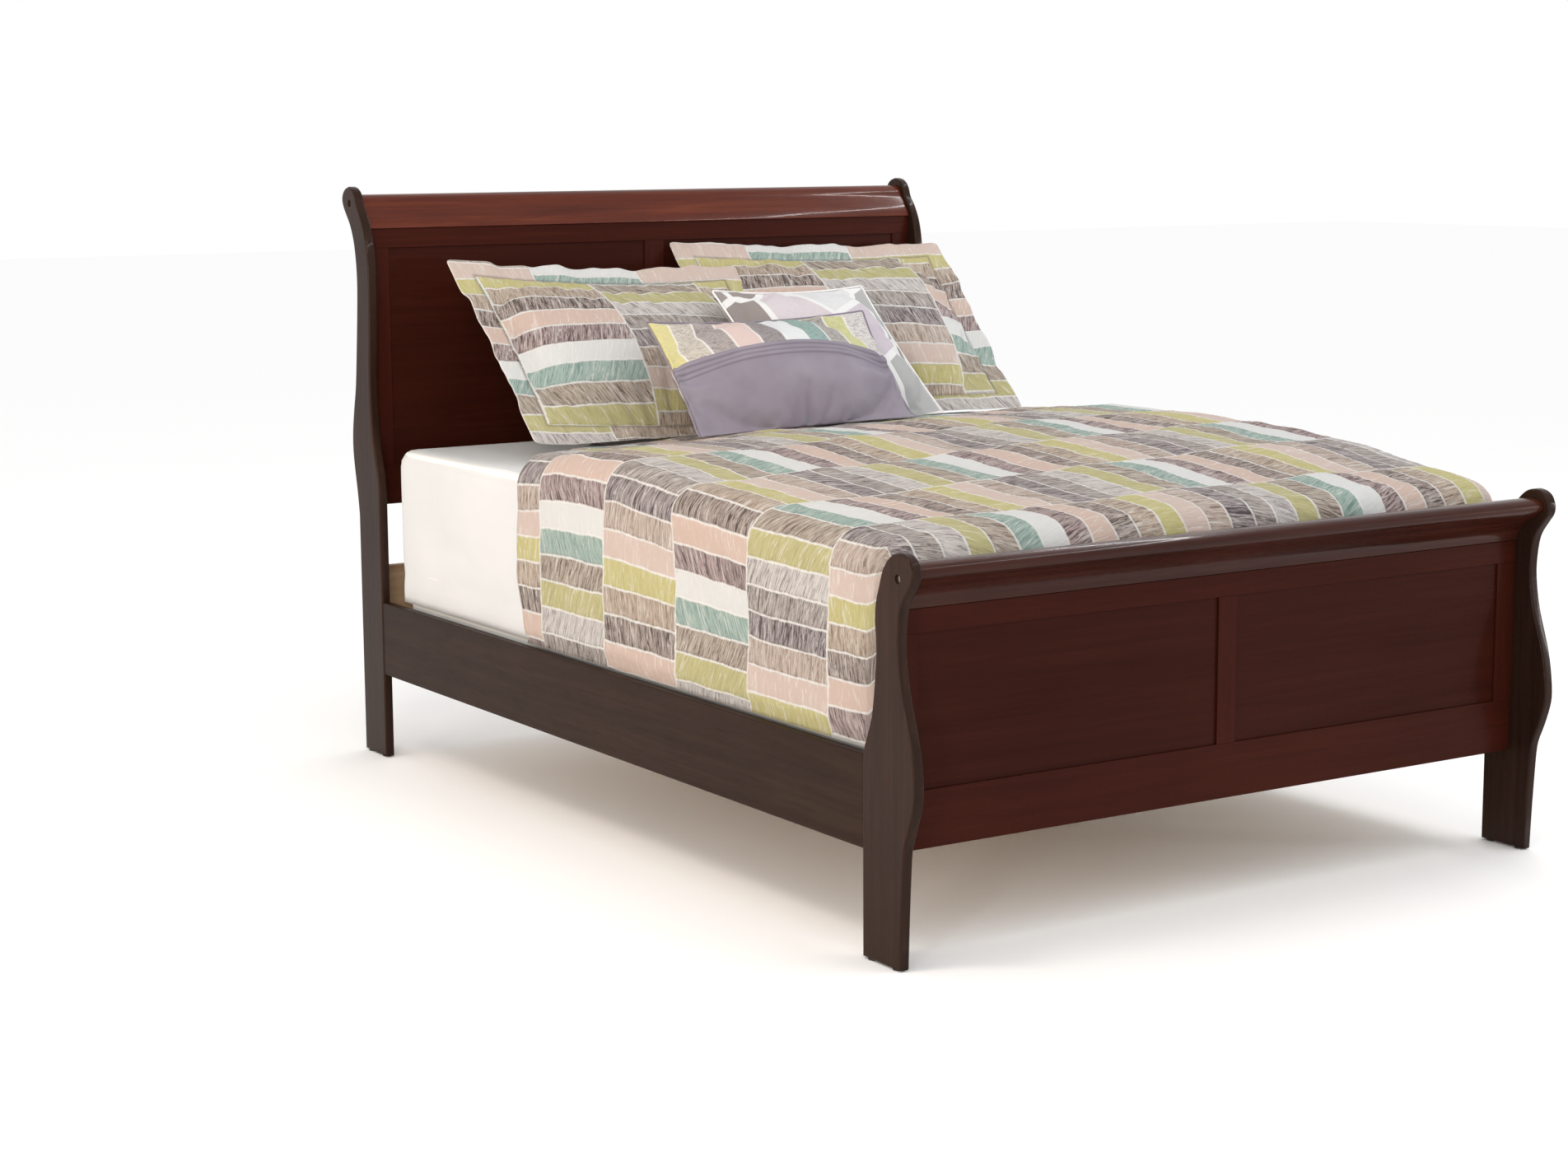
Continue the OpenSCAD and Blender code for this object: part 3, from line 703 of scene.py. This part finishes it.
# the profile runs from the bottom edge to the top edge: (inset, share of the height)
slabs = {
    "mattress": (1.522, 2.03), "boxSpring": (1.512, 2.02), "corner": 0.06,
    "profile": [(0.012, 0), (0.003, 0.010), (0.0, 0.022), (0.003, 0.036), (0.006, 0.05), (0.002, 0.2),
                (0.0, 0.5), (0.002, 0.8), (0.006, 0.95), (0.003, 0.964), (0.0, 0.978), (0.003, 0.99),
                (0.012, 1)],
    "faceRings": (0.93, 0.8, 0.6, 0.4, 0.2),
}


def roundedRing(w, l, corner, inset, steps=8):
    ring = []
    for qx, qy, a0 in ((1, 1, 0), (-1, 1, 90), (-1, -1, 180), (1, -1, 270)):
        for k in range(steps + 1):
            a = math.radians(a0 + 90 * k / steps)
            x = qx * (w / 2 - corner) + (corner - inset) * math.cos(a)
            y = qy * (l / 2 - corner) + (corner - inset) * math.sin(a)
            ring.append((x, y))
    return ring


def paddedSlab(name, w, l, z0, z1, midY):
    points, faces, uv = [], [], []
    rings = [roundedRing(w, l, slabs["corner"], inset) for inset, _ in slabs["profile"]]
    n = len(rings[0])
    for ring, (_, share) in zip(rings, slabs["profile"]):
        for x, y in ring:
            points.append((x, y + midY, z0 + (z1 - z0) * share))
            uv.append((x + y, z0 + (z1 - z0) * share))
    for j in range(len(rings) - 1):
        for k in range(n):
            a, b = j * n + k, j * n + (k + 1) % n
            faces.append((a, b, b + n, a + n))
    for up in (0, 1):
        ring = rings[-1 if up else 0]
        base = (len(rings) - 1) * n if up else 0
        last = list(range(base, base + n))
        for share in slabs["faceRings"]:
            here = len(points)
            for x, y in ring:
                points.append((x * share, y * share + midY, z1 if up else z0))
                uv.append((x * share, y * share))
            new = list(range(here, here + n))
            for k in range(n):
                quad = (last[k], last[(k + 1) % n], new[(k + 1) % n], new[k])
                faces.append(quad if up else quad[::-1])
            last = new
        faces.append(tuple(last) if up else tuple(last[::-1]))
    o = meshObject(name, points, faces, uv)
    return o


def buildMattress():
    low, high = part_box("mattress")
    mid = (low.y + high.y) / 2
    body = paddedSlab("mattress_body", *slabs["mattress"], low.z + 0.001, high.z - 0.0065, mid)
    low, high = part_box("box_spring")
    mid = (low.y + high.y) / 2
    base = paddedSlab("box_spring_body", *slabs["boxSpring"], low.z, high.z - 0.001, mid)
    return body, base


def tickingMaterial():
    mat, tree, shader = newMaterial("ticking")
    at = addNode(tree, "TexCoord").outputs["Object"]
    diamond = stretched(tree, at, (11, 11, 11), 1)
    stripe = addNode(tree, "TexWave", {"Vector": at, "Scale": 16.0}, bands_direction="X").outputs[1]
    tint = ramp(tree, stripe, [(0.35, (0.72, 0.71, 0.68)), (0.75, (0.80, 0.79, 0.76))])
    height = plus(tree, diamond, times(tree, stripe, 0.4))
    fabricShader(tree, shader, tint, height, 0.001)
    return mat


# ---- shams and cushions ----

cushions = {
    "left_sham": {
        "size": (0.705, 0.50), "flange": 0.052, "belly": 0.074, "place": (-0.244, 0.738, 0.968),
        "lean": 41, "roll": -4.2, "yaw": 4, "bend": 0.03, "seed": 3,
        "pressure": 5.0, "grow": 0.06, "taper": 0.02},
    "right_sham": {
        "size": (0.70, 0.49), "flange": 0.05, "belly": 0.074, "place": (0.420, 0.845, 0.994),
        "lean": 44, "roll": -2.0, "yaw": -2, "bend": 0.02, "seed": 5,
        "pressure": 5.0, "grow": 0.06, "taper": 0.02},
    "square_pillow": {
        "size": (0.46, 0.46), "flange": 0.0, "belly": 0.074, "place": (0.212, 0.606, 0.946),
        "lean": 42, "roll": -1.0, "yaw": 5, "bend": 0.01, "seed": 7,
        "pressure": 5.0, "grow": 0.06, "taper": 0.04},
    "lumbar_pillow": {
        "size": (0.60, 0.365), "flange": 0.0, "belly": 0.086, "place": (-0.018, 0.452, 0.916),
        "lean": 47, "roll": 0.6, "yaw": -1.5, "bend": 0.015, "seed": 9,
        "pressure": 5.5, "grow": 0.08, "taper": 0.045},
}
stuffing = {"frames": 20, "quality": 5, "mass": 0.12, "stiffness": 30, "shear": 14, "bending": 0.25,
            "damping": 2, "step": 0.0095, "quickStep": 0.014}
flangeCut = {"rows": 7, "near": 0.24, "power": 1.5, "thickness": 0.005}
# what the cushions lie on and lean against, and how softly they give way
support = {"sheetTop": 0.7555, "quiltHalf": 0.76, "board": 1.0775, "gap": 0.0035, "soft": 0.012,
           "blend": 0.03}
# three tucks across the lumbar pillow follow a shallow arch
tucks = {"height": 0.0445, "arch": 0.08, "pitch": 0.013, "depth": 0.0045, "band": 0.040}
# cloth strips of the lumbar pillow: colour, strength of the printed marks
lumbarStrips = {"width": 0.0605, "start": 0.31, "cloths": [
    ((0.58, 0.53, 0.26), 0.2), ((0.52, 0.48, 0.42), 0.7), ((0.36, 0.32, 0.31), 1.0),
    ((0.58, 0.46, 0.43), 0.06), ((0.27, 0.25, 0.25), 1.0), ((0.62, 0.64, 0.65), 0.04),
    ((0.24, 0.35, 0.33), 0.6), ((0.36, 0.34, 0.32), 0.9), ((0.50, 0.50, 0.26), 0.3),
    ((0.58, 0.56, 0.55), 0.75)]}
# colours of the square pillow: (share, colour)
facets = [(0.0, (0.60, 0.61, 0.62)), (0.16, (0.25, 0.22, 0.21)), (0.38, (0.56, 0.51, 0.54)),
          (0.50, (0.36, 0.37, 0.37)), (0.66, (0.47, 0.47, 0.28)), (0.78, (0.50, 0.45, 0.50)),
          (0.90, (0.27, 0.24, 0.23))]


def clothGrid(c, step):
    return max(int(c["size"][0] / step), 8), max(int(c["size"][1] / step), 8)


def flatCushion(name, c, step):
    # two layers of cloth joined at the rim, slightly apart in the middle
    w, h = c["size"]
    nx, ny = clothGrid(c, step)
    points, uv, back = [], [], {}
    for j in range(ny + 1):
        for i in range(nx + 1):
            x, y = -w / 2 + w * i / nx, -h / 2 + h * j / ny
            sx, sy = 2 * x / w, 2 * y / h
            # the cut tapers a little towards its corners
            px, py = x * (1 - c["taper"] * (1 - sy * sy)), y * (1 - 1.3 * c["taper"] * (1 - sx * sx))
            gap = 0.0 if abs(sx) > 0.999 or abs(sy) > 0.999 else 0.002
            points.append((px, py, 0.020 * (1 - sx * sx) * (1 - sy * sy) + gap))
            uv.append((x, y))
    faces = gridFaces(nx, ny)
    for j in range(ny + 1):
        for i in range(nx + 1):
            k = j * (nx + 1) + i
            if i in (0, nx) or j in (0, ny):
                back[(i, j)] = k
            else:
                back[(i, j)] = len(points)
                p = points[k]
                points.append((p[0], p[1], -p[2]))
                uv.append((uv[k][0] + 5, uv[k][1] + 3))
    for j in range(ny):
        for i in range(nx):
            faces.append((back[(i, j)], back[(i, j + 1)], back[(i + 1, j + 1)], back[(i + 1, j)]))
    rim = [j * (nx + 1) + i for i, j in ([(i, 0) for i in range(nx)] + [(nx, j) for j in range(ny)]
           + [(i, ny) for i in range(nx, 0, -1)] + [(0, j) for j in range(ny, 0, -1)])]
    o = meshObject(name, points, faces, uv, [(1.0, 1.0)] * len(points))
    return o, rim


def inflate(o, rim, pressure, grow):
    o.vertex_groups.new(name="rim").add(rim, 1.0, "REPLACE")
    cloth = o.modifiers.new("fill", "CLOTH")
    s = cloth.settings
    s.quality = stuffing["quality"]
    s.mass = stuffing["mass"]
    s.tension_stiffness = stuffing["stiffness"]
    s.compression_stiffness = stuffing["stiffness"]
    s.shear_stiffness = stuffing["shear"]
    s.bending_stiffness = stuffing["bending"]
    s.use_pressure = True
    s.uniform_pressure_force = pressure
    s.effector_weights.gravity = 0
    s.air_damping = stuffing["damping"]
    s.vertex_group_mass = "rim"
    s.shrink_min = -grow
    cloth.collision_settings.use_collision = False
    cloth.point_cache.frame_start = 1
    cloth.point_cache.frame_end = stuffing["frames"]
    for f in range(1, stuffing["frames"] + 1):
        scene.frame_set(f)
    applyModifiers(o)
    scene.frame_set(1)


def coordinates(o):
    co = np.empty(len(o.data.vertices) * 3)
    o.data.vertices.foreach_get("co", co)
    return co.reshape(-1, 3)


def setCoordinates(o, co):
    o.data.vertices.foreach_set("co", co.ravel())
    o.data.update()


def cushionMatrix(c):
    return (Matrix.Translation(c["place"]) @ Matrix.Rotation(math.radians(c["yaw"]), 4, "Z")
            @ Matrix.Rotation(math.radians(c["lean"]), 4, "X")
            @ Matrix.Rotation(math.radians(c["roll"]), 4, "Z"))


def tube(name, path, radius, sides=8):
    points, faces, uv = [], [], []
    n = len(path)
    run = 0.0
    for k in range(n):
        p = Vector(path[k])
        ahead = (Vector(path[(k + 1) % n]) - Vector(path[k - 1])).normalized()
        side = ahead.cross(Vector((0, 0, 1))).normalized()
        up = side.cross(ahead)
        run += (p - Vector(path[k - 1])).length if k else 0
        for m in range(sides):
            t = 2 * math.pi * m / sides
            points.append(tuple(p + side * radius * math.cos(t) + up * radius * math.sin(t)))
            uv.append((run, m / sides * 0.02))
    for k in range(n):
        for m in range(sides):
            a, b = k * sides + m, k * sides + (m + 1) % sides
            c, d = ((k + 1) % n) * sides + m, ((k + 1) % n) * sides + (m + 1) % sides
            faces.append((a, c, d, b))
    return meshObject(name, points, faces, uv, [(1.0, 1.0)] * len(points))


def addFlange(o, c, rimPath, flat):
    # a double hem that stands out all round past the seam
    w, f = c["size"], c["flange"]
    n = len(rimPath)
    rows = flangeCut["rows"]
    nearY = flangeCut["near"]
    nearX = nearY * w[1] / w[0]
    points, faces, uv, rim = [], [], [], []
    for k in range(n):
        p = Vector(rimPath[k])
        q = Vector((*flat[k], 0))
        sx, sy = 2 * q.x / w[0], 2 * q.y / w[1]
        away = Vector((sx if abs(sx) > 0.995 else 0, sy if abs(sy) > 0.995 else 0, 0))
        if away.x and not away.y:
            away.y = math.copysign(max(0, (abs(sy) - 1 + nearY) / nearY) ** flangeCut["power"], sy)
        elif away.y and not away.x:
            away.x = math.copysign(max(0, (abs(sx) - 1 + nearX) / nearX) ** flangeCut["power"], sx)
        for r in range(rows + 1):
            t = r / rows
            # the hem starts a little inside the seam
            out = away * (f * (t * 1.12 - 0.12))
            wave = 0.017 * wobble(q.x, q.y, 0, 0.075, c["seed"])
            wave += 0.005 * wobble(q.x, q.y, 0, 0.028, c["seed"] + 1)
            points.append((p.x + out.x, p.y + out.y, p.z + wave * t))
            uv.append((q.x + out.x + 0.137, q.y + out.y + 0.021))
            rim.append((f * (1 - t) + 0.001, 1.0))
    for k in range(n):
        for r in range(rows):
            a, b = k * (rows + 1) + r, ((k + 1) % n) * (rows + 1) + r
            faces.append((a, b, b + 1, a + 1))
    hem = meshObject(o.name + "_flange", points, faces, uv, rim)
    thicken(hem, flangeCut["thickness"], 0)
    return hem


def buildCushion(name):
    c = cushions[name]
    step = stuffing["step"]
    o, rim = flatCushion(name + "_cover", c, step)
    nx, ny = clothGrid(c, step)
    w, h = c["size"]
    flat = [((k % (nx + 1) / nx - 0.5) * w, (k // (nx + 1) / ny - 0.5) * h) for k in rim]
    inflate(o, rim, c["pressure"], c["grow"])
    co = coordinates(o)
    span = co.max(0) - co.min(0)
    if c["taper"] < 0.03:
        co *= np.array([w / span[0], h / span[1], 1.0])
    co[:, 2] *= c["belly"] / max(np.abs(co[:, 2]).max(), 1e-6)
    # front and back layers never cross near the corners
    near = np.minimum(w / 2 - np.abs(co[:, 0]), h / 2 - np.abs(co[:, 1]))
    least = np.clip(near * 0.35, 0, 0.006)
    front = np.arange(len(co)) < (nx + 1) * (ny + 1)
    back = ~front
    front[rim] = False
    co[front, 2] = np.maximum(co[front, 2], least[front])
    co[back, 2] = np.minimum(co[back, 2], -least[back])
    setCoordinates(o, co)
    rimPath = [Vector(o.data.vertices[k].co) for k in rim]
    return o, rimPath, flat


def settle(objects, c):
    place = cushionMatrix(c)
    w = c["size"][0]
    s = support
    for o in objects:
        co = coordinates(o)
        co[:, 2] += c["bend"] * ((2 * co[:, 0] / w) ** 2) * 0.5 - c["bend"] * 0.25
        world = np.array([tuple(place @ Vector(p)) for p in co])
        for k, (x, y, z) in enumerate(world):
            onQuilt = y < between(quiltHead, x) - 0.01 and abs(x) < s["quiltHalf"]
            ground = (quiltTop(x, y) if onQuilt else s["sheetTop"]) + s["gap"]
            if z < ground + s["soft"]:
                world[k, 2] = ground + s["soft"] * math.exp((z - ground - s["soft"]) / s["blend"])
        world[:, 1] = np.minimum(world[:, 1], s["board"])
        setCoordinates(o, world)


def sewPleats(o):
    # three tucks run across the lumbar pillow just above its middle
    co = coordinates(o)
    for k, (x, y, z) in enumerate(co):
        if z > 0.004:
            below = tucks["height"] - tucks["arch"] * x * x - y
            if 0 < below < tucks["band"]:
                fold = math.sin(math.pi * ((below / tucks["pitch"]) % 1))
                co[k, 2] += tucks["depth"] * fold * min(1, z / 0.02)
    setCoordinates(o, co)


def pullCreases(o, c, amount):
    # slanting creases in the lower half
    co = coordinates(o)
    h = c["size"][1]
    for k, (x, y, z) in enumerate(co):
        low = smoothStep(0.0, -h / 2, y)
        slant = 0.35 * (y + h / 2) * math.tanh(x / 0.07)
        lines = math.sin((x + slant) * 75 + 2.2 * wobble(x, y, 0, 0.09, 4))
        mask = max(0, wobble(x, y, 0, 0.11, 12) + 0.25)
        co[k, 2] += math.copysign(amount * lines * low * mask * min(1, abs(z) / 0.02), z)
    setCoordinates(o, co)


def gatherSeam(o, c, amount):
    # the filled part is gathered where it meets the flange
    co = coordinates(o)
    w, h = c["size"]
    for k, (x, y, z) in enumerate(co):
        dx, dy = w / 2 - abs(x), h / 2 - abs(y)
        near, along = (dx, y) if dx < dy else (dy, x)
        fade = math.exp(-((near - 0.035) / 0.03) ** 2) * min(1, near / 0.01)
        wave = math.sin(along * 150 + 3 * wobble(x, y, 0, 0.08, c["seed"] + 2))
        wave *= 0.6 + wobble(x, y, 0, 0.05, 21)
        co[k, 2] += math.copysign(amount * wave * fade, z)
    setCoordinates(o, co)


def lumbarMaterial():
    mat, tree, shader = newMaterial("lumbarCotton")
    at = addNode(tree, "UVMap", uv_map="flat").outputs[0]
    parts = addNode(tree, "SeparateXYZ", {0: at})
    u, v = parts.outputs[0], parts.outputs[1]
    cloths, width = lumbarStrips["cloths"], lumbarStrips["width"]
    strip = calc(tree, "DIVIDE", plus(tree, u, lumbarStrips["start"]), width)
    inStrip = calc(tree, "DIVIDE", calc(tree, "FLOOR", strip), 10.0)
    lookUp = plus(tree, inStrip, 0.02)
    ground = ramp(tree, lookUp, shares([c[0] for c in cloths]), "CONSTANT")
    power = ramp(tree, lookUp, shares([c[1] for c in cloths]), "CONSTANT")
    bold = stretched(tree, at, (70, 150, 9), 4, 0.65, 1.8)
    fine = stretched(tree, at, (60, 380, 9), 4, 0.7, 0.6)
    mixed = timesPlus(tree, fine, 0.5, times(tree, bold, 0.5))
    marks = times(tree, ramp(tree, mixed, [(0.49, 0.0), (0.57, 1.0)]), times(tree, power, 0.75))
    top = mixColour(tree, marks, ground, (0.12, 0.095, 0.10))
    toSeam = times(tree, calc(tree, "PINGPONG", strip, 0.5), width)
    seam = ramp(tree, toSeam, [(0.0012, 1.0), (0.0026, 0.0)])
    top = mixColour(tree, seam, top, (0.70, 0.69, 0.67))
    # plain cloth below the arch
    arch = timesPlus(tree, times(tree, u, u), -tucks["arch"], tucks["height"])
    above = timesPlus(tree, minus(tree, v, arch), 100.0, 0.5)
    lower = ramp(tree, above, [(0.48, 1.0), (0.52, 0.0)])
    cloud = stretched(tree, at, (9, 9, 9), 3)
    plain = ramp(tree, cloud, [(0.3, (0.215, 0.190, 0.235)), (0.7, (0.265, 0.238, 0.285))])
    colour = mixColour(tree, lower, top, plain)
    below = minus(tree, arch, v)
    toFold = calc(tree, "PINGPONG", plus(tree, below, 0.001), tucks["pitch"] / 2)
    inBand = ramp(tree, below, [(0.043, 1.0), (0.045, 0.0)])
    tuck = times(tree, ramp(tree, toFold, [(0.0, 1.0), (0.0022, 0.0)]), inBand)
    shade = times(tree, times(tree, tuck, lower), 0.6)
    colour = mixColour(tree, shade, colour, (0.10, 0.085, 0.115))
    # the back layer lies far along the flat cloth
    isBack = calc(tree, "GREATER_THAN", u, 2.0)
    colour = mixColour(tree, isBack, colour, plain)
    height = timesPlus(tree, weave(tree, at, 1300), 0.12, times(tree, bold, 0.5))
    fabricShader(tree, shader, colour, height, 0.0014, 0.6)
    return mat


def facetMaterial():
    mat, tree, shader = newMaterial("facetPrint")
    at = addNode(tree, "UVMap", uv_map="flat").outputs[0]
    wide = addNode(tree, "Mapping", {0: at, 3: (7.2, 5.6, 1), 2: (0, 0, 0.35)}).outputs[0]
    spread = {"Vector": wide, "Scale": 1.0, "Randomness": 0.85}
    cells = addNode(tree, "TexVoronoi", spread, voronoi_dimensions="2D")
    edges = addNode(tree, "TexVoronoi", spread, voronoi_dimensions="2D", feature="DISTANCE_TO_EDGE")
    pick = addNode(tree, "SeparateColor", {0: cells.outputs["Color"]}).outputs[0]
    tint = ramp(tree, pick, facets, "CONSTANT")
    hatch = stretched(tree, at, (90, 420, 9), 3, 0.6)
    hatching = times(tree, ramp(tree, hatch, [(0.5, 0.0), (0.6, 1.0)]), 0.18)
    tint = mixColour(tree, hatching, tint, (0.30, 0.27, 0.27))
    line = ramp(tree, edges.outputs[0], [(0.050, 1.0), (0.062, 0.0)])
    tint = mixColour(tree, line, tint, (0.68, 0.68, 0.68))
    height = timesPlus(tree, weave(tree, at, 1300), 0.15, hatch)
    fabricShader(tree, shader, tint, height, 0.0008)
    return mat


def dress(o, mat, node=None):
    o.data.materials.clear()
    o.data.materials.append(mat)
    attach(o, "bed")
    if node:
        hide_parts(node)


def buildBedding():
    ticking = tickingMaterial()
    body, base = buildMattress()
    dress(body, ticking, "mattress")
    dress(base, ticking, "box_spring")
    print("mattress and box spring ready")
    cover = buildSheet()
    whiteSheet = plainFabric("whiteSheet", (0.61, 0.615, 0.62), (0.66, 0.66, 0.66), 4, 0.0016)
    dress(cover, whiteSheet, "bed_sheet")
    print("sheet ready")
    patches = patchMaterial("quiltPatchwork", quilt["column"], quilt["row"], 4, quilt["stagger"])
    dress(buildQuilt(), patches, "quilt")
    print("quilt ready")
    shamCloth = patchMaterial("shamPatchwork", 0.30, 0.056, 11, 0.37, across=True)
    piping = plainFabric("whitePiping", (0.80, 0.80, 0.80), (0.84, 0.84, 0.84), 30)
    lilac = plainFabric("lilacPiping", (0.22, 0.195, 0.24), (0.26, 0.235, 0.28), 30)
    for name in cushions:
        c = cushions[name]
        o, rimPath, flat = buildCushion(name)
        pieces = [o]
        if c["flange"]:
            pieces.append(addFlange(o, c, rimPath, flat))
            pullCreases(o, c, 0.002)
            gatherSeam(o, c, 0.0032)
            mats = [shamCloth, shamCloth]
        elif name == "lumbar_pillow":
            sewPleats(o)
            pullCreases(o, c, 0.006)
            pieces.append(tube(name + "_piping", rimPath, 0.0022))
            mats = [lumbarMaterial(), lilac]
        else:
            pieces.append(tube(name + "_piping", rimPath, 0.0028))
            mats = [facetMaterial(), piping]
        settle(pieces, c)
        for piece, mat in zip(pieces, mats):
            dress(piece, mat, name if piece is o else None)
            sub = piece.modifiers.new("soft", "SUBSURF")
            sub.levels = sub.render_levels = 1
        print(name, "ready")


# ---- scene ----

setCamera()
print("camera ready")
bpy.ops.mesh.primitive_plane_add(size=studio["floorSize"], location=(0, 0, 0))
floor = bpy.context.object
floor.name = "floor"
floorMat, floorTree, floorShader = newMaterial("paleFloor")
floorShader.inputs["Base Color"].default_value = (*studio["floor"], 1)
floorShader.inputs["Roughness"].default_value = 1.0
floorShader.inputs["Specular IOR Level"].default_value = 0.0
floor.data.materials.append(floorMat)
world = bpy.data.worlds.new("studio")
scene.world = world
world.use_nodes = True
world.node_tree.nodes["Background"].inputs[0].default_value = (*studio["sky"], 1)
world.node_tree.nodes["Background"].inputs[1].default_value = studio["skyStrength"]
scene.view_settings.view_transform = "Standard"
for lampName, settings in lamps.items():
    areaLight(lampName, *settings)
print("studio ready")

finishHardPieces()
print("wood and hardware ready")
buildBedding()
